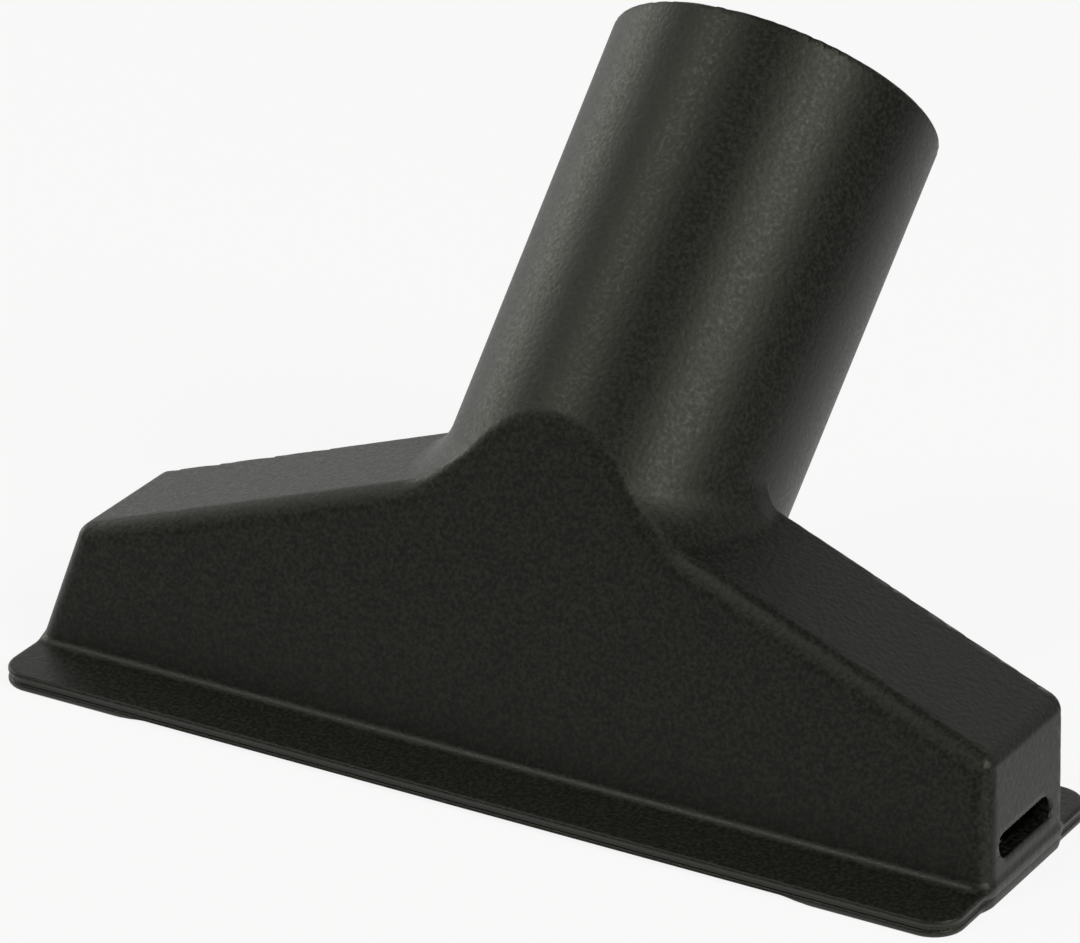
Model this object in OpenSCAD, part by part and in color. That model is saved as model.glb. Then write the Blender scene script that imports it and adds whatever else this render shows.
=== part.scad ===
// Small upholstery nozzle for a household vacuum cleaner: a moulded black
// hood with a tilted socket for the suction pipe, and two lint strips set
// into the sole. X runs along the sole, the socket leans towards +Y, and the
// origin is the middle of the sole on the surface that it stands on.

/* [Sole] */
// Length of the sole along X
sole_l = 120; // [100:1:150]
// Depth of the sole, front lip edge to rear lip edge
sole_d = 34.8; // [33:0.2:44]
// Thickness of the lips
lip_t = 2; // [1.9:0.1:3]
// Corner radius of the lips, seen from above
corner_r = 3.8; // [3:0.2:8]
// Radius along the edges of the lips
lip_edge_r = 0.7; // [0.3:0.05:0.9]
// Depth of the parting groove round the lips
groove_d = 0.3; // [0.1:0.05:0.6]
// Width of the parting groove
groove_w = 0.35; // [0.2:0.05:0.6]
// Height of the parting groove above the floor
groove_z = 0.85; // [0.8:0.05:1]
// How far the sole is relieved between its end pads
relief_h = 0.5; // [0.2:0.05:0.8]
// Length of the ramp at each end of the relief
ramp_l = 4; // [1:0.5:8]

/* [Hood] */
// Depth of the hood at the lips, outside
hood_d = 18; // [16:0.5:22]
// Angle at which the front and rear walls lean back
hood_lean = 19.8; // [10:0.2:24]
// Draft of the end walls from upright
end_draft = 11.4; // [5:0.2:20]
// Height of the shoulders, where the roof meets the end walls
shoulder_h = 14.7; // [12:0.1:17]
// Rise of the roof from the shoulders to the neck, in degrees
roof_rise = 17.8; // [14:0.2:20]
// Wall thickness of the hood
hood_wall = 2.2; // [1.5:0.1:2.5]
// Radius along the front and end edges of the hood
hood_edge_r = 2.2; // [1:0.1:3]
// Radius along the rear edges of the hood
rear_edge_r = 0.8; // [0.5:0.1:2.5]

/* [End slots] */
// Length of the air slot in each end wall
slot_l = 12; // [6:0.5:13]
// Height of the air slot
slot_h = 2.6; // [1.5:0.1:3]
// Height of the middle of the slot above the floor
slot_z = 5.2; // [4.8:0.1:7]

/* [Neck] */
// Bore of the socket that takes the suction pipe
bore_d = 35.2; // [30:0.2:36]
// Depth of the socket to its stop
bore_depth = 36; // [30:1:38]
// Wall of the neck at its mouth
neck_wall = 2; // [1.6:0.1:2.6]
// Draft of the outside of the neck
neck_draft = 0.6; // [0.3:0.1:1]
// Tilt of the neck from upright
neck_tilt = 46.3; // [43:0.1:50]
// Length of the neck above the point where its axis starts
neck_l = 57; // [52:0.5:70]
// Where the axis of the neck starts, back from the middle of the sole
neck_y = 12.8; // [11.5:0.1:13.5]
// Where the axis of the neck starts, above the floor
neck_z = 20.1; // [19:0.1:22]
// Width of the ledge that stops the pipe
stop_ledge = 0.8; // [0.5:0.1:3]
// Radius of the fillet between the neck and the roof
neck_fillet_r = 3; // [1.5:0.1:4]
// Radius round the outer edge of the neck's mouth
rim_r = 0.5; // [0.2:0.1:1]
// Chamfer that leads the pipe into the socket
mouth_lead = 0.6; // [0.3:0.1:1]
// Angle of the flat under the neck from level
chin_rise = 31; // [26:1:34]

/* [Lint strips] */
// Length of each lint strip
strip_l = 80; // [60:1:90]
// Width of each lint strip
strip_w = 6; // [4:0.5:7]
// Thickness of each strip, backing and pile
strip_t = 1.2; // [0.9:0.1:1.3]
// Height of the pile tips above the floor
strip_z = 0.1; // [0:0.05:0.3]
// Gap round each strip in its recess
strip_gap = 0.15; // [0.05:0.05:0.4]

/* [Hidden] */
$fn = 96;
hull_fn = 32;
lip_fn = 48;
// Steps in each quarter of a rounded edge that is drawn as a profile.
quarter_steps = 4;
quarter_turn = 90 / quarter_steps;
// Size of the blocks that cut along a plane, past the whole nozzle.
far = 200;
// Cuts run this far past the faces that they open through.
over = 1;
// The lips stop this far inside the end walls, so that the walls show as one face.
lip_set = 0.15;
// The flat front of the neck sits this far behind the front wall.
flush_set = 0.02;
// The hood is rooted this far above the floor, inside the lips.
root_z = 0.4;
// The fillet's ball is this much nearer to both surfaces than its radius, so that it cuts into them.
fillet_sink = 0.05;
lean_t = tan(hood_lean);
draft_t = tan(end_draft);
rise_t = tan(roof_rise);
shoulder_x = sole_l / 2 - draft_t * (shoulder_h - lip_t);
ridge_z = shoulder_h + rise_t * shoulder_x;
mouth_r = bore_d / 2 + neck_wall;
// The neck and the throat are drawn this far below the point where the axis starts, into the hood.
neck_down = 30;
strip_y = (sole_d / 2 + hood_d / 2 - hood_wall) / 2;
recess_z = strip_z + strip_t;

// Y of the front wall's plane (side -1) or the rear wall's (side 1) at height z, moved in by inset.
function wall_y(side, z, inset) =
    side * (hood_d / 2 - inset / cos(hood_lean)) + lean_t * (z - lip_t);
// X of the right end wall's plane at height z, moved in by inset.
function end_x(z, inset) = sole_l / 2 - inset / cos(end_draft) - draft_t * max(z - lip_t, 0);
// Height of the roof's plane at x, moved in by inset.
function roof_z(x, inset) = shoulder_h + rise_t * (shoulder_x - abs(x)) - inset / cos(roof_rise);
// Height of the corner between the roof and the end wall, both moved in by inset.
function corner_z(inset) =
    (shoulder_h - inset / cos(roof_rise)
        + rise_t * (shoulder_x - sole_l / 2 - draft_t * lip_t + inset / cos(end_draft)))
    / (1 - rise_t * draft_t);

// Radius of the outside of the neck at t along its axis.
function neck_r(t) = mouth_r - tan(neck_draft) * (neck_l - t);

// Outside of the hood: balls in its upper corners and short leaning posts in its lower ones, wrapped.
module hood_outside() {
    hull() {
        for (side = [-1, 1]) {
            r = side < 0 ? hood_edge_r : rear_edge_r;
            top_z = corner_z(r);
            post_l = (lip_t - root_z) / cos(hood_lean) - r * lean_t;
            translate([0, wall_y(side, roof_z(0, r), r), roof_z(0, r)])
                sphere(r = r, $fn = hull_fn);
            for (end = [-1, 1]) {
                translate([end * end_x(top_z, r), wall_y(side, top_z, r), top_z])
                    sphere(r = r, $fn = hull_fn);
                translate([end * end_x(lip_t, r), wall_y(side, lip_t, r), lip_t])
                    rotate([-hood_lean, 0, 0])
                        translate([0, 0, -post_l])
                            cylinder(r = r, h = post_l, $fn = hull_fn);
            }
        }
    }
}

// Everything in front of the plane of a wall at distance inset inside the rear wall.
module before_rear(inset) {
    translate([0, wall_y(1, lip_t, inset), lip_t])
        rotate([-hood_lean, 0, 0])
            translate([-far / 2, -far, -far / 2])
                cube(far);
}

// Space inside the hood, open towards the front: its front view, as far back as the rear wall.
module hood_inside() {
    top_z = corner_z(hood_wall);
    intersection() {
        rotate([90, 0, 0])
            translate([0, 0, -far / 2])
                linear_extrude(far)
                    polygon([
                        [-end_x(-over, hood_wall), -over],
                        [end_x(-over, hood_wall), -over],
                        [end_x(lip_t, hood_wall), lip_t],
                        [end_x(top_z, hood_wall), top_z],
                        [0, roof_z(0, hood_wall)],
                        [-end_x(top_z, hood_wall), top_z],
                        [-end_x(lip_t, hood_wall), lip_t]
                    ]);
        before_rear(hood_wall);
    }
}

// One layer of the lips, z0 to z1, moved in by inset. Its outer edges are rounded, and between them
// a thin layer keeps a flat of at least edge_flat.
module lip_layer(z0, z1, inset) {
    edge_flat = 0.1;
    r = min(lip_edge_r, (z1 - z0 - edge_flat) / 2);
    edge_x = corner_r - inset - r;
    hull() {
        for (end = [-1, 1], side = [-1, 1]) {
            translate([
                end * (sole_l / 2 - lip_set - corner_r),
                side * (sole_d / 2 - corner_r),
                0
            ])
                rotate_extrude($fn = lip_fn)
                    polygon([
                        [0, z0],
                        for (k = [0:quarter_steps])
                            [edge_x + r * sin(k * quarter_turn), z0 + r - r * cos(k * quarter_turn)],
                        for (k = [0:quarter_steps])
                            [edge_x + r * cos(k * quarter_turn), z1 - r + r * sin(k * quarter_turn)],
                        [0, z1]
                    ]);
        }
    }
}

// The lips: a lower and an upper layer with the parting groove between them.
module lips() {
    lip_layer(0, groove_z, 0);
    lip_layer(groove_z + groove_w, lip_t, 0);
    lip_layer(groove_z - groove_w, groove_z + 2 * groove_w, groove_d);
}

// Everything behind the plane of a wall at distance inset inside the front wall.
module behind_front(inset) {
    translate([0, wall_y(-1, lip_t, inset), lip_t])
        rotate([-hood_lean, 0, 0])
            translate([-far / 2, 0, -far / 2])
                cube(far);
}

// Everything above the flat under the neck, which starts on the rear lip, moved up by inset.
module above_chin(inset) {
    translate([0, sole_d / 2 - corner_r / 2, lip_t])
        rotate([chin_rise, 0, 0])
            translate([-far / 2, -far / 2, inset])
                cube(far);
}

// Puts its children on the axis of the neck, with z along the axis from where it starts.
module on_neck_axis() {
    translate([0, neck_y, neck_z])
        rotate([-neck_tilt, 0, 0])
            children();
}

// Outside of the neck, cut flush with the front wall and flat underneath.
module neck_outside() {
    intersection() {
        on_neck_axis()
            rotate_extrude()
                polygon([
                    [0, -neck_down],
                    [neck_r(-neck_down), -neck_down],
                    for (k = [0:quarter_steps])
                        [
                            mouth_r - rim_r + rim_r * cos(k * quarter_turn),
                            neck_l - rim_r + rim_r * sin(k * quarter_turn)
                        ],
                    [0, neck_l]
                ]);
        behind_front(flush_set);
        above_chin(0);
        translate([-far / 2, -far / 2, root_z])
            cube(far);
    }
}

// Fillet between the neck and the right half of the roof, as a ball leaves it that rolls along both.
// At the angle a round the neck, the ball's middle is as far from the neck as from the roof, which
// gives its place along the axis. Each ring holds the ball's arc, neck to roof, and a point below,
// root_in inside both. The rings run from before the front wall to behind the rear one, and the
// walls' planes cut them.
module neck_fillet() {
    from_a = -64;
    to_a = 8;
    rings = 18;
    arc = 6;
    reach = neck_fillet_r - fillet_sink;
    root_in = 0.6;
    sloped = cos(roof_rise);
    up = [sin(roof_rise), 0, sloped];
    axis = [0, sin(neck_tilt), cos(neck_tilt)];
    function away(a) = [cos(a), sin(a) * cos(neck_tilt), -sin(a) * sin(neck_tilt)];
    function along(a) =
        (ridge_z * sloped + reach - neck_z * sloped - (neck_r(0) + reach) * (up * away(a)))
        / (up * axis + tan(neck_draft) * (up * away(a)));
    function middle(a) =
        [0, neck_y, neck_z] + along(a) * axis + (neck_r(along(a)) + reach) * away(a);
    function between(a, share) =
        let (turn = acos(up * away(a)))
            (sin((1 - share) * turn) * away(a) + sin(share * turn) * up) / sin(turn);
    function ring(a) = [
        for (k = [0:arc]) middle(a) - neck_fillet_r * between(a, k / arc),
        middle(a) - (reach + root_in) * (away(a) + up) / (1 + up * away(a))
    ];
    sides = arc + 2;
    points = [for (i = [0:rings]) each ring(from_a + (to_a - from_a) * i / rings)];
    faces = [
        [for (k = [0:sides - 1]) k],
        for (i = [0:rings - 1], k = [0:sides - 1])
            let (a = i * sides + k, b = i * sides + (k + 1) % sides)
                each [[a, a + sides, b + sides], [a, b + sides, b]],
        [for (k = [sides - 1:-1:0]) rings * sides + k]
    ];
    intersection() {
        polyhedron(points, faces);
        behind_front(flush_set);
        before_rear(rear_edge_r / 2);
    }
}

// Way from the hood up to the stop of the socket, open towards the front.
module throat() {
    intersection() {
        on_neck_axis()
            translate([0, 0, -neck_down])
                cylinder(d = bore_d - 2 * stop_ledge, h = neck_l + neck_down);
        above_chin(hood_wall);
    }
}

// Way for the air, sole to socket, with the front wall's thickness left in front of all of it.
module airway() {
    intersection() {
        union() {
            hood_inside();
            throat();
        }
        behind_front(hood_wall);
    }
}

// Socket for the pipe, and the chamfer that leads the pipe in.
module socket() {
    on_neck_axis() {
        translate([0, 0, neck_l - bore_depth])
            cylinder(d = bore_d, h = bore_depth + over);
        translate([0, 0, neck_l - mouth_lead])
            cylinder(d1 = bore_d, d2 = bore_d + 4 * mouth_lead, h = 2 * mouth_lead);
    }
}

// Air slot through both end walls, with round ends.
module end_slots() {
    mid_y = lean_t * (slot_z - lip_t);
    translate([-far / 2, mid_y, slot_z])
        rotate([0, 90, 0])
            linear_extrude(far) {
                square([slot_h, slot_l - slot_h], center = true);
                for (side = [-1, 1])
                    translate([0, side * (slot_l - slot_h) / 2])
                        circle(d = slot_h);
            }
}

// What is taken off the outer part of one lip between the end pads, front (side -1) or rear (side 1).
module sole_relief(side) {
    half = strip_l / 2 + strip_gap;
    inner_y = strip_y - strip_w / 2 - strip_gap;
    translate([0, side * (inner_y + sole_d / 2), 0])
        rotate([90, 0, 0])
            linear_extrude(sole_d, center = true)
                polygon([
                    [-half - ramp_l, -relief_h],
                    [half + ramp_l, -relief_h],
                    [half + ramp_l, 0],
                    [half, relief_h],
                    [-half, relief_h],
                    [-half - ramp_l, 0]
                ]);
}

// Recess for one lint strip, in the front lip (side -1) or the rear lip (side 1).
module strip_recess(side) {
    translate([0, side * strip_y, (recess_z - over) / 2])
        cube([strip_l + 2 * strip_gap, strip_w + 2 * strip_gap, recess_z + over], center = true);
}

module nozzle_body() {
    color([0.11, 0.115, 0.105])
        difference() {
            union() {
                hood_outside();
                lips();
                neck_outside();
                for (side = [0, 1])
                    mirror([side, 0, 0])
                        neck_fillet();
            }
            airway();
            socket();
            end_slots();
            for (side = [-1, 1]) {
                sole_relief(side);
                strip_recess(side);
            }
        }
}

// Lint strip: a flat backing with a crowned pile below it, whose long edges end crown higher.
module lint_strip(side) {
    crown = strip_t / 3;
    steps = 12;
    color([0.07, 0.07, 0.07])
        translate([-strip_l / 2, side * strip_y, recess_z])
            rotate([90, 0, 90])
                linear_extrude(strip_l)
                    polygon([
                        [-strip_w / 2, 0],
                        for (k = [0:steps])
                            let (u = -1 + 2 * k / steps)
                                [u * strip_w / 2, -strip_t + crown * u * u],
                        [strip_w / 2, 0]
                    ]);
}

module front_lint_strip() {
    lint_strip(-1);
}

module rear_lint_strip() {
    lint_strip(1);
}

nozzle_body();
front_lint_strip();
rear_lint_strip();
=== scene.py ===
"""Looks of a small upholstery nozzle: one black moulding on a wide-lipped sole, with two lint strips.

Lengths are in millimetres inside this script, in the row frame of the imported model: X runs along
the sole, Y points backwards, the way the pipe socket leans, and Z points up from the sole.
"""

import logging
import math
from collections.abc import Callable
from dataclasses import dataclass, field
from enum import Enum

import bpy
import numpy as np
from mathutils import Matrix, Vector


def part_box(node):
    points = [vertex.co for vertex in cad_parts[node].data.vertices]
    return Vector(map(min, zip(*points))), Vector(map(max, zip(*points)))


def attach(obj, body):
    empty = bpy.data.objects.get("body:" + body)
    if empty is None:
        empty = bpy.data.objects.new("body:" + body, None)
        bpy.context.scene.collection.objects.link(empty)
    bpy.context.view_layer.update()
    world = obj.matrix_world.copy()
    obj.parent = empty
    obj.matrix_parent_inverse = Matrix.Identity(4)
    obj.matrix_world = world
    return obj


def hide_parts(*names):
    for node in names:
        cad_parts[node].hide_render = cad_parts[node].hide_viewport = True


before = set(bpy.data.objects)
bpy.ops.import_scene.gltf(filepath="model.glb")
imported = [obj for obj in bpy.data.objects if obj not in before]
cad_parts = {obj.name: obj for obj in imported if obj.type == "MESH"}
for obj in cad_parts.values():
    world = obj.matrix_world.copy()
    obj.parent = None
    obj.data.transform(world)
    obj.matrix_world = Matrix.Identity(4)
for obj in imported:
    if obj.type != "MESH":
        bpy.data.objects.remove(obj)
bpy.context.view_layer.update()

Array = np.ndarray
Field = Callable[[Array, Array, Array], Array]

MM = 0.001
PHOTO_SIZE = (1080, 943)

log = logging.getLogger("scene")


class Slot(Enum):
    """The record's material slots."""

    MOULDING = "black_moulding"
    PILE = "lint_pile"


def linear(code: str) -> tuple[float, float, float, float]:
    """Turns an sRGB hex colour into linear values.

    Args:
        code: The colour, such as "#202020".

    Returns:
        Red, green, blue and an alpha of 1.
    """
    parts = [int(code[k : k + 2], 16) / 255 for k in (1, 3, 5)]
    red, green, blue = (c / 12.92 if c <= 0.04045 else ((c + 0.055) / 1.055) ** 2.4 for c in parts)
    return red, green, blue, 1.0


def rounded_common(radius: float | Array, *fields: Array) -> Array:
    """Distance to what several solids share, with the edges between them rounded.

    Each field is moved in by the radius. Outside the moved surfaces the distance is the root of
    the sum of the squares of what is positive, and inside it is the largest of them.

    Args:
        radius: Radius of the edges, in millimetres.
        fields: Signed distances, negative inside each solid.

    Returns:
        The signed distance to the common solid.
    """
    moved = [f + radius for f in fields]
    outside = np.sqrt(sum(np.maximum(m, 0.0) ** 2 for m in moved))
    inside = moved[0]
    for m in moved[1:]:
        inside = np.maximum(inside, m)
    return np.minimum(inside, 0.0) + outside - radius


def rounded_union(radius: float | Array, *fields: Array) -> Array:
    """Distance to several solids together, with a fillet of this radius in each hollow corner.

    Args:
        radius: Radius of the fillets, in millimetres.
        fields: Signed distances, negative inside each solid.

    Returns:
        The signed distance to the joined solid.
    """
    return -rounded_common(radius, *(-f for f in fields))


def smooth_step(low: float, high: float, value: Array) -> Array:
    """Goes from 0 at low to 1 at high along the curve 3t^2 - 2t^3."""
    t = np.clip((value - low) / (high - low), 0.0, 1.0)
    return t * t * (3 - 2 * t)


def gradient(solid: Field, points: Array, step: float = 0.01) -> Array:
    """Unit normals of a field, by differences over twice the step along each axis.

    Args:
        solid: The field.
        points: Points, one row each.
        step: Half the length of each difference, in millimetres.

    Returns:
        Unit vectors that point out of the solid, one row each.
    """
    shifts = step * np.eye(3)
    rows = [solid(*(points + s).T) - solid(*(points - s).T) for s in shifts]
    found = np.stack(rows, axis=1)
    return found / np.maximum(np.linalg.norm(found, axis=1, keepdims=True), 1e-12)


def settled(solid: Field, points: Array, reach: float = 0.15) -> Array:
    """Moves points on to a field's surface, in three steps along its gradient.

    Args:
        solid: The field.
        points: Points near the surface, one row each.
        reach: The most that a point moves in each step, in millimetres.

    Returns:
        The moved points.
    """
    for _ in range(3):
        height = np.clip(solid(*points.T), -reach, reach)
        points = points - height[:, None] * gradient(solid, points)
    return points


def dual_surface(solid: Field, lines: tuple[Array, Array, Array]) -> tuple[Array, Array]:
    """Surface of a field on a grid of uneven spacing, with its sharp edges kept.

    Each grid edge whose two ends lie on different sides crosses the surface at one point, which
    has a tangent plane. Each cell gets the point that lies nearest to the planes of its own
    crossings, pulled lightly to their middle, and each crossed edge joins its four cells' points.

    Args:
        solid: The field, negative inside.
        lines: The grid's positions along X, Y and Z.

    Returns:
        The points, one row each, and the faces, four point numbers a row, wound outwards.
    """
    values = solid(*np.meshgrid(*lines, indexing="ij"))
    cells = tuple(len(line) - 1 for line in lines)
    owners, spots, normals, quads = [], [], [], []
    for axis in range(3):
        others = [(axis + 1) % 3, (axis + 2) % 3]
        near = np.take(values, np.arange(cells[axis]), axis)
        far = np.take(values, np.arange(1, cells[axis] + 1), axis)
        index = np.argwhere((near < 0) != (far < 0))
        edge = tuple(index.T)
        first, second = near[edge], far[edge]
        start = np.stack([lines[k][index[:, k]] for k in range(3)], axis=1)
        span = lines[axis][index[:, axis] + 1] - start[:, axis]
        low, high = np.zeros(len(index)), np.ones(len(index))
        point = start.copy()
        for _ in range(10):
            middle = (low + high) / 2
            point[:, axis] = start[:, axis] + middle * span
            same = (solid(*point.T) < 0) == (first < 0)
            low, high = np.where(same, middle, low), np.where(same, high, middle)
        corners = []
        for a, b in ((0, 0), (1, 0), (1, 1), (0, 1)):
            cell = index.copy()
            cell[:, others[0]] -= a
            cell[:, others[1]] -= b
            corners.append(np.ravel_multi_index(tuple(cell.T), cells))
        ring = np.stack(corners, axis=1)
        quads.append(np.where((second < 0)[:, None], ring[:, ::-1], ring))
        owners.append(ring.ravel())
        spots.append(np.repeat(point, 4, axis=0))
        normals.append(np.repeat(gradient(solid, point), 4, axis=0))
    owner, spot, normal = np.concatenate(owners), np.concatenate(spots), np.concatenate(normals)
    used, owner = np.unique(owner, return_inverse=True)
    count = np.bincount(owner)
    middle = np.stack([np.bincount(owner, spot[:, k]) / count for k in range(3)], axis=1)
    offset = np.einsum("ij,ij->i", normal, spot - middle[owner])
    pull = 0.02
    system = np.empty((len(used), 3, 3))
    for j in range(3):
        for k in range(3):
            system[:, j, k] = np.bincount(owner, normal[:, j] * normal[:, k])
    system += pull * np.eye(3)
    right = np.stack([np.bincount(owner, normal[:, k] * offset) for k in range(3)], axis=1)
    points = middle + np.linalg.solve(system, right[:, :, None])[:, :, 0]
    cell = np.unravel_index(used, cells)
    for k in range(3):
        points[:, k] = np.clip(points[:, k], lines[k][cell[k]], lines[k][cell[k] + 1])
    faces = np.searchsorted(used, np.concatenate(quads))
    return settled(solid, points), faces


def spaced(*stretches: tuple[float, float]) -> Array:
    """Grid positions from a start through stretches of their own spacing.

    Args:
        stretches: The end of each stretch and the spacing along it. The first pair gives the
            start, and its spacing isn't used.

    Returns:
        The positions, in rising order.
    """
    rows = [np.array([stretches[0][0]])]
    for (start, _), (end, pitch) in zip(stretches, stretches[1:]):
        steps = max(1, round((end - start) / pitch))
        rows.append(np.linspace(start, end, steps + 1)[1:])
    return np.concatenate(rows)


def mesh_object(name: str, points: Array, faces: Array) -> bpy.types.Object:
    """Makes an object of points in millimetres, with its place in its mesh.

    Args:
        name: Name of the piece.
        points: Points in millimetres, one row each.
        faces: Point numbers, one face a row.

    Returns:
        The new object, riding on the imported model's one body.
    """
    mesh = bpy.data.meshes.new(name)
    mesh.from_pydata(points * MM, [], faces)
    mesh.update()
    piece = bpy.data.objects.new(name, mesh)
    bpy.context.scene.collection.objects.link(piece)
    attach(piece, "root")
    return piece


def add_node(tree: bpy.types.NodeTree, kind: str, links: dict | None = None, **settings: object) -> bpy.types.Node:
    """Adds a shader node with its settings and its links.

    Args:
        tree: The material's or world's tree.
        kind: Blender's name of the node's type, without its ShaderNode start.
        links: What each input socket takes: an output socket, or a plain value.
        settings: The node's own properties.

    Returns:
        The new node.
    """
    node = tree.nodes.new("ShaderNode" + kind)
    for key, value in settings.items():
        setattr(node, key, value)
    for key, value in (links or {}).items():
        if isinstance(value, bpy.types.NodeSocket):
            tree.links.new(value, node.inputs[key])
        else:
            node.inputs[key].default_value = value
    return node


def per_metre(size_mm: float) -> float:
    """Scale of a pattern on Object coordinates whose cells are this many millimetres wide."""
    return 1 / (size_mm * MM)


@dataclass(frozen=True)
class SparkTexturedPlastic:
    """Black polypropylene, injection moulded in a spark-eroded tool.

    The tool's craters leave a fine even grain, which scatters highlights into a soft sheen with
    small bright points. The melt's own gloss stays on the tips of the grain. Light is also painted
    into the grain's colour: painted shade darkens the pits, and painted glints lighten the tips.
    """

    # Painted shade and painted glints: the pits take a colour darker than the plastic's black, and the tips a
    # lighter one.
    painted_pit_shade: str = "#030302"
    tip_colour: str = "#25261f"
    gloss_tint: str = "#fffff6"
    roughness: float = 0.45
    ior: float = 1.49
    grain_mm: float = 0.48
    crater_mm: float = 0.62
    relief_mm: float = 0.045

    def make(self) -> bpy.types.Material:
        """Builds the material.

        Returns:
            The material, with its pattern on Object coordinates.
        """
        material = bpy.data.materials.new("spark_textured_polypropylene")
        material.use_nodes = True
        tree = material.node_tree
        tree.nodes.clear()
        place = add_node(tree, "TexCoord").outputs["Object"]
        grain = add_node(
            tree,
            "TexNoise",
            {"Vector": place, "Scale": per_metre(self.grain_mm), "Detail": 2.0, "Roughness": 0.6},
        )
        craters = add_node(
            tree,
            "TexVoronoi",
            {"Vector": place, "Scale": per_metre(self.crater_mm)},
            feature="SMOOTH_F1",
        )
        height = add_node(
            tree, "Math", {0: grain.outputs["Fac"], 1: craters.outputs["Distance"]}, operation="ADD"
        )
        bump = add_node(
            tree,
            "Bump",
            {"Height": height.outputs[0], "Strength": 0.55, "Distance": self.relief_mm * MM},
        )
        # The grain mixes the painted shade of the pits and the painted glints of the tips into the base colour.
        depth = add_node(
            tree, "MapRange", {"Value": grain.outputs["Fac"], "From Min": 0.42, "From Max": 0.70}
        )
        tone = add_node(
            tree,
            "Mix",
            {"Factor": depth.outputs[0], 6: linear(self.painted_pit_shade), 7: linear(self.tip_colour)},
            data_type="RGBA",
        )
        rough = add_node(
            tree,
            "MapRange",
            {
                "Value": grain.outputs["Fac"],
                "From Min": 0.3,
                "From Max": 0.7,
                "To Min": self.roughness - 0.07,
                "To Max": self.roughness + 0.09,
            },
        )
        surface = add_node(
            tree,
            "BsdfPrincipled",
            {
                "Base Color": tone.outputs[2],
                "Roughness": rough.outputs[0],
                "Normal": bump.outputs[0],
                "IOR": self.ior,
                "Specular Tint": linear(self.gloss_tint),
            },
        )
        add_node(tree, "OutputMaterial", {"Surface": surface.outputs[0]})
        return material


@dataclass(frozen=True)
class LintPile:
    """Black nylon pile, cut short and brushed one way, which gives a dull nap with a faint sheen."""

    colour: str = "#171717"
    tip_colour: str = "#262625"
    roughness: float = 0.85

    def make(self) -> bpy.types.Material:
        """Builds the material.

        Returns:
            The material, with its pattern on Object coordinates.
        """
        material = bpy.data.materials.new("brushed_nylon_pile")
        material.use_nodes = True
        tree = material.node_tree
        tree.nodes.clear()
        place = add_node(tree, "TexCoord").outputs["Object"]
        tufts = add_node(
            tree, "TexNoise", {"Vector": place, "Scale": per_metre(0.5), "Detail": 2.0}
        )
        tone = add_node(
            tree,
            "Mix",
            {"Factor": tufts.outputs["Fac"], 6: linear(self.colour), 7: linear(self.tip_colour)},
            data_type="RGBA",
        )
        bump = add_node(
            tree, "Bump", {"Height": tufts.outputs["Fac"], "Strength": 0.5, "Distance": 0.1 * MM}
        )
        surface = add_node(
            tree,
            "BsdfPrincipled",
            {
                "Base Color": tone.outputs[2],
                "Normal": bump.outputs[0],
                "Roughness": self.roughness,
                "Sheen Weight": 0.25,
                "Sheen Roughness": 0.4,
            },
        )
        add_node(tree, "OutputMaterial", {"Surface": surface.outputs[0]})
        return material


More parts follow.
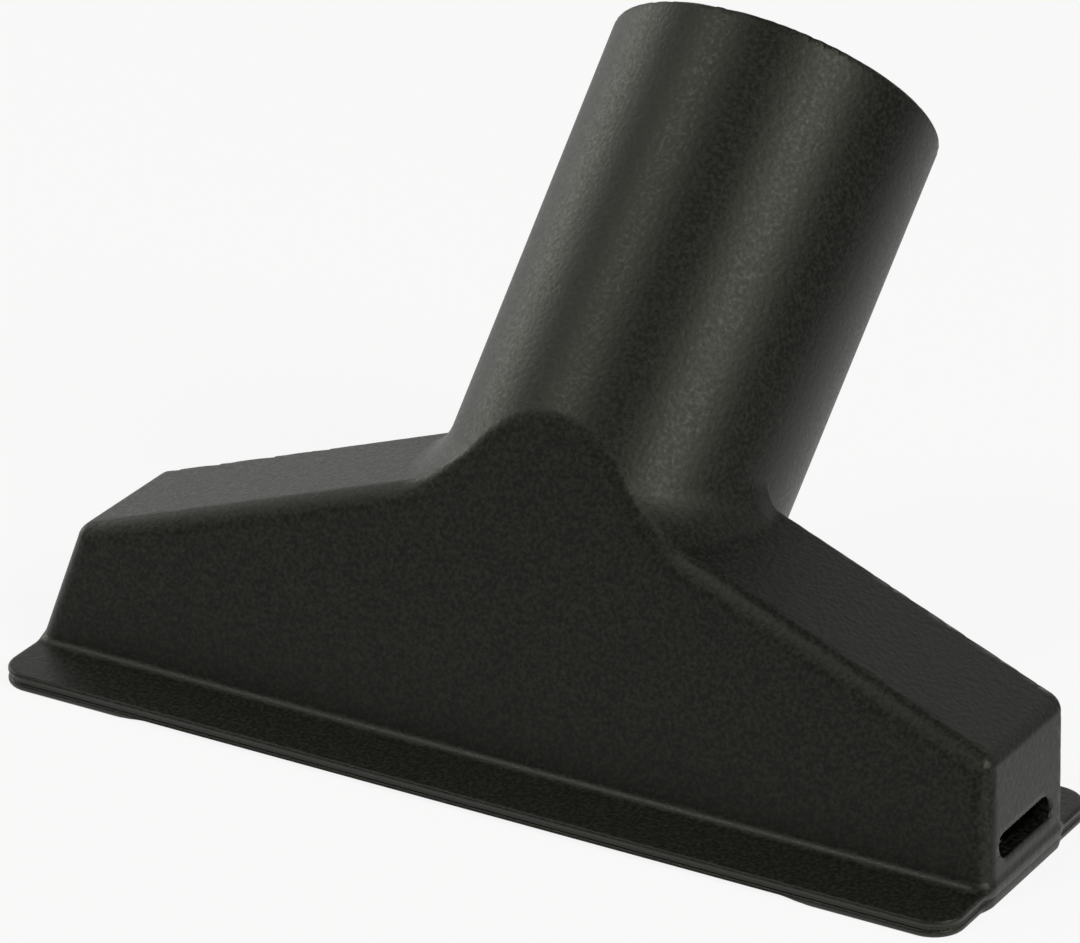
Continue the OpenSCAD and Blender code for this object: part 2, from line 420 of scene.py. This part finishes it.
@dataclass
class Moulding:
    """The nozzle's one moulding: hood, lips, neck and the way for the air, in millimetres."""

    sole_l: float = 120.0
    sole_d: float = 34.8
    lip_t: float = 2.0
    lip_corner_r: float = 3.8
    lip_edge_r: float = 0.35
    lip_set: float = 0.15
    groove: tuple[float, float] = (0.85, 1.2)
    groove_d: float = 0.3
    hood_d: float = 18.0
    lean: float = math.radians(19.8)
    draft: float = math.radians(11.4)
    shoulder_z: float = 14.7
    rise: float = math.radians(17.8)
    wall: float = 2.2
    hood_edge_r: float = 2.2
    end_edge_r: float = 1.1
    rear_edge_r: float = 0.8
    arch_edge_r: float = 0.5
    root_r: float = 0.9
    neck_fillet_r: float = 3.0
    fillet_end_r: float = 1.9
    neck_start: tuple[float, float] = (12.8, 20.1)
    neck_tilt: float = math.radians(46.3)
    neck_l: float = 57.0
    neck_draft: float = math.radians(0.6)
    mouth_r: float = 19.6
    bore_r: float = 17.6
    bore_depth: float = 36.0
    throat_r: float = 16.8
    lead: float = 0.6
    chin: float = math.radians(31)
    chin_edge_r: float = 1.2
    slot: tuple[float, float, float] = (12.0, 2.6, 5.2)
    relief_h: float = 0.5
    ramp_l: float = 4.0
    recess: tuple[float, float, float, float] = (80.3, 6.3, 12.1, 1.3)

    def hood_planes(self, x: Array, y: Array, z: Array) -> tuple[Array, Array, Array, Array]:
        """Distances to the hood's front, rear, end and roof planes, each mirrored where it repeats.

        Args:
            x: Positions along the sole.
            y: Positions backwards.
            z: Heights.

        Returns:
            Four signed distances, positive outside.
        """
        slope = math.tan(self.lean) * (z - self.lip_t)
        front = (slope - self.hood_d / 2 - y) * math.cos(self.lean)
        rear = (y - slope - self.hood_d / 2) * math.cos(self.lean)
        reach = np.abs(x) - self.sole_l / 2
        leaning = (reach + math.tan(self.draft) * (z - self.lip_t)) * math.cos(self.draft)
        end = np.maximum(reach, leaning)
        shoulder_x = self.sole_l / 2 - math.tan(self.draft) * (self.shoulder_z - self.lip_t)
        top = self.shoulder_z + math.tan(self.rise) * (shoulder_x - np.abs(x))
        roof = (z - top) * math.cos(self.rise)
        return front, rear, end, roof

    def on_neck(self, x: Array, y: Array, z: Array) -> tuple[Array, Array]:
        """Place along the neck's axis, and distance from that axis.

        Args:
            x: Positions along the sole.
            y: Positions backwards.
            z: Heights.

        Returns:
            The place along the axis and the distance from it.
        """
        back, up = y - self.neck_start[0], z - self.neck_start[1]
        sine, cosine = math.sin(self.neck_tilt), math.cos(self.neck_tilt)
        along = back * sine + up * cosine
        across = back * cosine - up * sine
        return along, np.hypot(x, across)

    def chin_plane(self, y: Array, z: Array) -> Array:
        """Distance below the flat under the neck, which starts at the rear lip."""
        back = y - (self.sole_d - self.lip_corner_r) / 2
        return back * math.sin(self.chin) - (z - self.lip_t) * math.cos(self.chin)

    def outside(self, x: Array, y: Array, z: Array) -> Array:
        """Distance to the hood and neck as one solid, with their edges rounded and filleted.

        The fillet runs along the roof and gets tight towards the rear wall. The front plane cuts the
        hood and the neck alike, and its edge is sharper on the neck.
        """
        front, rear, end, roof = self.hood_planes(x, y, z)
        along, radial = self.on_neck(x, y, z)
        radius = self.mouth_r - math.tan(self.neck_draft) * (self.neck_l - along)
        neck = rounded_common(0.5, radial - radius, along - self.neck_l)
        neck = rounded_common(self.chin_edge_r, neck, self.chin_plane(y, z))
        runs_in = smooth_step(0.0, 4.0, -rear)
        fillet_r = self.fillet_end_r + (self.neck_fillet_r - self.fillet_end_r) * runs_in
        top = rounded_common(self.end_edge_r, end, rounded_union(fillet_r, roof, neck))
        joined = np.minimum(rounded_common(self.rear_edge_r, rear, top), neck)
        on_arch = smooth_step(-1.5, 2.5, roof)
        edge_r = self.hood_edge_r + (self.arch_edge_r - self.hood_edge_r) * on_arch
        return rounded_common(edge_r, front, joined)

    def lips(self, x: Array, y: Array, z: Array) -> Array:
        """Distance to the lips: two thin layers with the parting groove between them."""
        qx = np.abs(x) - (self.sole_l / 2 - self.lip_set - self.lip_corner_r)
        qy = np.abs(y) - (self.sole_d / 2 - self.lip_corner_r)
        plan = np.hypot(np.maximum(qx, 0), np.maximum(qy, 0)) + np.minimum(np.maximum(qx, qy), 0)
        plan = plan - self.lip_corner_r
        low, high = self.groove
        lower = rounded_common(self.lip_edge_r, plan, z - low, -z)
        upper = rounded_common(self.lip_edge_r, plan, z - self.lip_t, high - z)
        core = np.maximum(np.maximum(plan + self.groove_d, z - high - 0.2), low - 0.2 - z)
        return np.minimum(np.minimum(lower, upper), core)

    def airway(self, x: Array, y: Array, z: Array) -> Array:
        """Distance to the space inside, from the sole to the mouth of the socket."""
        front, rear, end, roof = self.hood_planes(x, y, z)
        along, radial = self.on_neck(x, y, z)
        hollow = rounded_common(0.8, rear + self.wall, end + self.wall, roof + self.wall)
        throat = np.maximum(radial - self.throat_r, self.chin_plane(y, z) + self.wall)
        way = rounded_common(0.5, front + self.wall, rounded_union(1.0, hollow, throat))
        stop = self.neck_l - self.bore_depth
        socket = np.maximum(radial - self.bore_r, stop - along)
        flare = (radial - self.bore_r - (along - self.neck_l + self.lead)) / math.sqrt(2)
        socket = np.minimum(socket, np.maximum(flare, self.neck_l - 2 - along))
        return np.minimum(way, socket)

    def end_slots(self, x: Array, y: Array, z: Array) -> Array:
        """Distance to the air slot with round ends that passes through each end wall."""
        length, height, middle_z = self.slot
        middle_y = math.tan(self.lean) * (middle_z - self.lip_t)
        past = np.maximum(np.abs(y - middle_y) - (length - height) / 2, 0)
        outline = np.hypot(past, z - middle_z) - height / 2
        return np.maximum(outline, self.sole_l / 2 - 10 - np.abs(x))

    def under_cuts(self, x: Array, y: Array, z: Array) -> Array:
        """Distance to what is cut from below: the reliefs outside the hood, and the recesses."""
        length, width, place, depth = self.recess
        relief = self.relief_h * np.clip((length / 2 + self.ramp_l - np.abs(x)) / self.ramp_l, 0, 1)
        inner = place - width / 2
        lifted = np.maximum(inner - np.abs(y), z - relief)
        sides = np.maximum(np.abs(x) - length / 2, np.abs(np.abs(y) - place) - width / 2)
        return np.minimum(lifted, np.maximum(sides, z - depth))

    def solid(self, x: Array, y: Array, z: Array) -> Array:
        """Distance to the whole moulding, negative in its material.

        Args:
            x: Positions along the sole.
            y: Positions backwards.
            z: Heights.

        Returns:
            The signed distance.
        """
        whole = rounded_union(self.root_r, self.outside(x, y, z), self.lips(x, y, z))
        whole = np.maximum(whole, -z)
        whole = rounded_common(0.3, whole, -self.airway(x, y, z))
        whole = rounded_common(0.25, whole, -self.end_slots(x, y, z))
        return np.maximum(whole, -self.under_cuts(x, y, z))

    def grid(self, pitch: float) -> tuple[Array, Array, Array]:
        """Grid positions: closer together at the lips, the slots and the end walls.

        Args:
            pitch: The spacing away from those places, in millimetres.

        Returns:
            The positions along X, Y and Z.
        """
        half, deep = self.sole_l / 2, self.sole_d / 2
        low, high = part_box("nozzle_body")
        side = spaced((0.13, 0), (half - 5.5, pitch), (half + 1.2, 0.36))
        xs = np.concatenate([-side[::-1], side])
        ys = spaced(
            (-deep - 1, 0),
            (-deep + 1.5, 0.3),
            (deep - 1.5, pitch),
            (deep + 1, 0.3),
            (high.y / MM + 1.5, pitch),
        )
        zs = spaced((-0.52, 0), (2.9, 0.18), (8.0, 0.5), (high.z / MM + 1.5, pitch))
        return xs, ys, zs

    def build(self, material: bpy.types.Material, pitch: float) -> bpy.types.Object:
        """Builds the moulding's surface, shaded with the field's own normals.

        Each face corner takes its normal a quarter of the way to the face's middle, so that a
        sharp edge stays sharp and a rounded one stays smooth.

        Args:
            material: The material of the moulding.
            pitch: The grid's spacing, in millimetres.

        Returns:
            The piece, which stands for nozzle_body.
        """
        points, faces = dual_surface(self.solid, self.grid(pitch))
        piece = mesh_object("moulded_nozzle", points, faces)
        corner = points[faces]
        inward = corner * 0.75 + corner.mean(axis=1, keepdims=True) * 0.25
        normals = gradient(self.solid, inward.reshape(-1, 3))
        piece.data.polygons.foreach_set("use_smooth", np.ones(len(faces), bool))
        piece.data.normals_split_custom_set(normals)
        piece.data.materials.append(material)
        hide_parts("nozzle_body")
        return piece


@dataclass
class LintStrip:
    """A strip of brushed pile in one lip, in millimetres: a backing with rows of leaning tufts."""

    node: str
    seed: int
    backing_t: float = 0.5
    tuft_pitch: float = 0.42
    tuft_r: float = 0.26
    sides: int = 5
    rng: np.random.Generator = field(init=False)

    def __post_init__(self) -> None:
        """Starts the strip's own random draws."""
        self.rng = np.random.default_rng(self.seed)

    def backing(self, low: Vector, high: Vector) -> tuple[Array, Array]:
        """The flat backing: a box of one closed shell.

        Args:
            low: The strip's lowest corner.
            high: The strip's highest corner.

        Returns:
            Its points and faces.
        """
        ends = np.array([[low.x, low.y, high.z - self.backing_t], list(high)])
        points = np.array([[ends[i][0], ends[j][1], ends[k][2]] for k in (0, 1) for j in (0, 1) for i in (0, 1)])
        faces = np.array(
            [[0, 2, 3, 1], [4, 5, 7, 6], [0, 1, 5, 4], [2, 6, 7, 3], [0, 4, 6, 2], [1, 3, 7, 5]]
        )
        return points, faces

    def tufts(self, low: Vector, high: Vector) -> tuple[Array, Array]:
        """Rows of tufts: each a leaning cone with rings of points and a closed tip and foot.

        A tuft's ring lies at a share s of its height, its radius is the foot's times
        sqrt(1 - s^2), and its middle moves sideways with s^2, so that the tuft bends.

        Args:
            low: The strip's lowest corner.
            high: The strip's highest corner.

        Returns:
            Their points and faces.
        """
        margin = self.tuft_r
        xs = np.arange(low.x + margin, high.x - margin, self.tuft_pitch)
        ys = np.arange(low.y + margin, high.y - margin, self.tuft_pitch)
        foot = np.stack(np.meshgrid(xs, ys, indexing="ij"), axis=-1).reshape(-1, 2)
        count = len(foot)
        foot += self.rng.uniform(-0.14, 0.14, (count, 2))
        top = high.z - self.backing_t * 0.6
        reach = (top - low.z) * self.rng.uniform(0.72, 1.0, count)
        lean = self.rng.normal([0.12, 0.0], 0.09, (count, 2))
        share = np.array([0.0, 0.55, 0.92])
        angle = np.arange(self.sides) * 2 * math.pi / self.sides
        ring = np.stack([np.cos(angle), np.sin(angle)], axis=-1)
        width = self.tuft_r * np.sqrt(1 - share**2)
        flat = foot[:, None, None, :] + lean[:, None, None, :] * (share**2)[None, :, None, None]
        flat = flat + width[None, :, None, None] * ring[None, None, :, :]
        height = top - reach[:, None, None] * share[None, :, None]
        height = np.broadcast_to(height, flat.shape[:3])
        points = np.concatenate([flat, height[..., None]], axis=-1)
        points[..., 0] = np.clip(points[..., 0], low.x, high.x)
        points[..., 1] = np.clip(points[..., 1], low.y, high.y)
        each = len(share) * self.sides
        faces = []
        for level in range(len(share) - 1):
            for k in range(self.sides):
                a, b = level * self.sides + k, level * self.sides + (k + 1) % self.sides
                faces.append([a, a + self.sides, b + self.sides])
                faces.append([a, b + self.sides, b])
        last = (len(share) - 1) * self.sides
        for k in range(1, self.sides - 1):
            faces.append([0, k, k + 1])
            faces.append([last, last + k + 1, last + k])
        one = np.array(faces)
        faces = (one[None] + each * np.arange(count)[:, None, None]).reshape(-1, 3)
        return points.reshape(-1, 3), faces

    def build(self, material: bpy.types.Material) -> bpy.types.Object:
        """Builds the strip.

        Args:
            material: The material of the pile.

        Returns:
            The piece, which stands for the strip's node.
        """
        low, high = (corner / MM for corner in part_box(self.node))
        backing, backing_faces = self.backing(low, high)
        tufts, tuft_faces = self.tufts(low, high)
        points = np.concatenate([backing, tufts])
        faces = [list(f) for f in backing_faces] + (tuft_faces + len(backing)).tolist()
        piece = mesh_object(f"{self.node}_pile", points, faces)
        piece.data.materials.append(material)
        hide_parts(self.node)
        return piece


@dataclass
class Studio:
    """Pale floor, soft light and the camera, in metres."""

    azimuth: float = math.radians(30.26)
    elevation: float = math.radians(24.79)
    focal_px: float = 6602.0
    place: tuple[float, float, float] = (0.3262, -0.5580, 0.3318)
    room: float = 0.16
    floor_glow: float = 0.89
    lamp_colour: str = "#fffff5"
    footprint: tuple[float, float, float] = (0.0570, 0.0145, 0.0)

    def camera(self) -> None:
        """Sets up the camera at the photograph's angle: level, with the frame's long side 1080."""
        data = bpy.data.cameras.new("camera")
        data.sensor_fit = "HORIZONTAL"
        data.sensor_width = 36.0
        data.lens = self.focal_px * data.sensor_width / PHOTO_SIZE[0]
        data.clip_start, data.clip_end = 0.01, 20.0
        camera = bpy.data.objects.new("camera", data)
        bpy.context.scene.collection.objects.link(camera)
        level = math.cos(self.elevation)
        back = Vector(
            (math.sin(self.azimuth) * level, -math.cos(self.azimuth) * level, math.sin(self.elevation))
        )
        camera.rotation_mode = "QUATERNION"
        camera.rotation_quaternion = (-back).to_track_quat("-Z", "Y")
        camera.location = self.place
        bpy.context.scene.camera = camera

    def fall(
        self,
        tree: bpy.types.NodeTree,
        value: bpy.types.NodeSocket,
        ends: tuple[float, float],
        shares: tuple[float, float],
    ) -> bpy.types.NodeSocket:
        """Turns a place between two ends into a share between two others, held beyond them.

        Args:
            tree: The material's or world's tree.
            value: The place.
            ends: The two places.
            shares: What is given at each of them.

        Returns:
            The share's output.
        """
        (low, high), (first, last) = ends, shares
        fall = add_node(
            tree,
            "MapRange",
            {"Value": value, "From Min": low, "From Max": high, "To Min": first, "To Max": last},
        )
        return fall.outputs[0]

    def floor(self) -> bpy.types.Object:
        """Makes the pale floor, a wide disc whose rim lies far outside the view."""
        steps = 64
        angle = np.arange(steps) * 2 * math.pi / steps
        rim = np.stack([6 * np.cos(angle), 6 * np.sin(angle), np.zeros(steps)], axis=1)
        mesh = bpy.data.meshes.new("floor")
        mesh.from_pydata(rim, [], [list(range(steps))])
        floor = bpy.data.objects.new("floor", mesh)
        bpy.context.scene.collection.objects.link(floor)
        material = bpy.data.materials.new("matt_white_paper")
        material.use_nodes = True
        tree = material.node_tree
        tree.nodes.clear()
        paper = add_node(tree, "BsdfDiffuse", {"Color": linear("#f2f2f2")})
        path = add_node(tree, "LightPath")
        place = add_node(tree, "TexCoord").outputs["Object"]
        mirrored = add_node(tree, "VectorMath", {0: place}, operation="ABSOLUTE")
        beyond = add_node(
            tree, "VectorMath", {0: mirrored.outputs[0], 1: self.footprint}, operation="SUBTRACT"
        )
        sides = add_node(tree, "SeparateXYZ", {0: beyond.outputs[0]})
        outside = add_node(
            tree, "Math", {0: sides.outputs["X"], 1: sides.outputs["Y"]}, operation="MAXIMUM"
        )
        near = self.fall(tree, outside.outputs[0], (0.02, 0.09), (1.0, 0.78))
        sideways = add_node(tree, "SeparateXYZ", {0: place})
        leftwards = self.fall(tree, sideways.outputs["X"], (0.085, 0.26), (1.0, 0.1))
        bright = add_node(tree, "Math", {0: near, 1: leftwards}, operation="MULTIPLY")
        strength = add_node(
            tree,
            "Math",
            {0: path.outputs["Is Glossy Ray"], 1: bright.outputs[0], 2: path.outputs["Is Camera Ray"]},
            operation="MULTIPLY_ADD",
        )
        glow = add_node(
            tree, "Emission", {"Color": linear("#ffffff"), "Strength": strength.outputs[0]}
        )
        seen = add_node(
            tree,
            "Math",
            {0: path.outputs["Is Camera Ray"], 1: self.floor_glow, 2: path.outputs["Is Glossy Ray"]},
            operation="MULTIPLY_ADD",
        )
        open_floor = self.fall(tree, outside.outputs[0], (0.0, 0.001), (0.0, 1.0))
        share = add_node(tree, "Math", {0: seen.outputs[0], 1: open_floor}, operation="MULTIPLY")
        both = add_node(
            tree, "MixShader", {0: share.outputs[0], 1: paper.outputs[0], 2: glow.outputs[0]}
        )
        add_node(tree, "OutputMaterial", {"Surface": both.outputs[0]})
        mesh.materials.append(material)
        return floor

    def world(self) -> None:
        """Gives the room a dim even light and a pale backdrop behind the nozzle.

        The backdrop is a band that is brightest low down at the back and the left, and fades upwards,
        to the front and to the right. The camera sees plain white everywhere, and a gloss sees white
        where the band is.
        """
        world = bpy.data.worlds.new("studio")
        bpy.context.scene.world = world
        world.use_nodes = True
        tree = world.node_tree
        tree.nodes.clear()
        place = add_node(tree, "TexCoord").outputs["Generated"]
        towards = add_node(tree, "SeparateXYZ", {0: place})
        low = self.fall(tree, towards.outputs["Z"], (0.35, 0.68), (0.87, 0.0))
        back = self.fall(tree, towards.outputs["Y"], (-0.1, 0.4), (0.0, 1.0))
        left = self.fall(tree, towards.outputs["X"], (0.1, 0.6), (1.0, 0.0))
        rear = add_node(tree, "Math", {0: back, 1: left}, operation="MULTIPLY")
        band = add_node(tree, "Math", {0: low, 1: rear.outputs[0]}, operation="MULTIPLY")
        path = add_node(tree, "LightPath")
        gloss = add_node(
            tree, "Math", {0: path.outputs["Is Glossy Ray"], 1: band.outputs[0]}, operation="MULTIPLY"
        )
        clear = add_node(
            tree,
            "Math",
            {0: path.outputs["Is Camera Ray"], 1: path.outputs["Is Transmission Ray"]},
            operation="MAXIMUM",
        )
        seen = add_node(tree, "Math", {0: clear.outputs[0], 1: gloss.outputs[0]}, operation="MAXIMUM")
        light = add_node(tree, "Background", {"Color": linear("#ffffff"), "Strength": self.room})
        white = add_node(tree, "Background", {"Color": linear("#ffffff"), "Strength": 1.0})
        both = add_node(tree, "MixShader", {0: seen.outputs[0], 1: light.outputs[0], 2: white.outputs[0]})
        add_node(tree, "OutputWorld", {"Surface": both.outputs[0]})

    def lamp(self, name: str, place: tuple[float, float, float], size: float, power: float) -> None:
        """Adds a square soft lamp that faces the nozzle.

        Args:
            name: Name of the lamp.
            place: Where it hangs, in metres.
            size: Length of its side, in metres.
            power: Its power, in watts.
        """
        data = bpy.data.lights.new(name, "AREA")
        data.shape = "SQUARE"
        data.size, data.energy = size, power
        data.color = linear(self.lamp_colour)[:3]
        lamp = bpy.data.objects.new(name, data)
        bpy.context.scene.collection.objects.link(lamp)
        target = Vector((0, 0.02, 0.03))
        turn = (target - Vector(place)).to_track_quat("-Z", "Y")
        lamp.matrix_world = Matrix.Translation(place) @ turn.to_matrix().to_4x4()

    def build(self) -> None:
        """Sets up all of the studio."""
        self.camera()
        self.floor()
        self.world()
        self.lamp("right_lamp", (0.85, -0.135, 0.735), 0.48, 4.4)
        self.lamp("top_lamp", (-0.43, -0.37, 0.97), 0.30, 2.1)
        self.lamp("left_lamp", (-1.03, 0.16, 0.38), 0.50, 2.1)
        bpy.context.scene.view_settings.view_transform = "Standard"


def main() -> None:
    """Builds the studio and the pieces."""
    logging.basicConfig(level=logging.INFO, format="%(name)s: %(message)s")
    Studio().build()
    plastic, pile = SparkTexturedPlastic().make(), LintPile().make()
    pieces = [Moulding().build(plastic, 0.76)]
    pieces += [LintStrip(f"{side}_lint_strip", seed).build(pile) for seed, side in enumerate(("front", "rear"))]
    for piece in pieces:
        log.info("%s: %d faces", piece.name, len(piece.data.polygons))


if __name__ == "__main__":
    main()
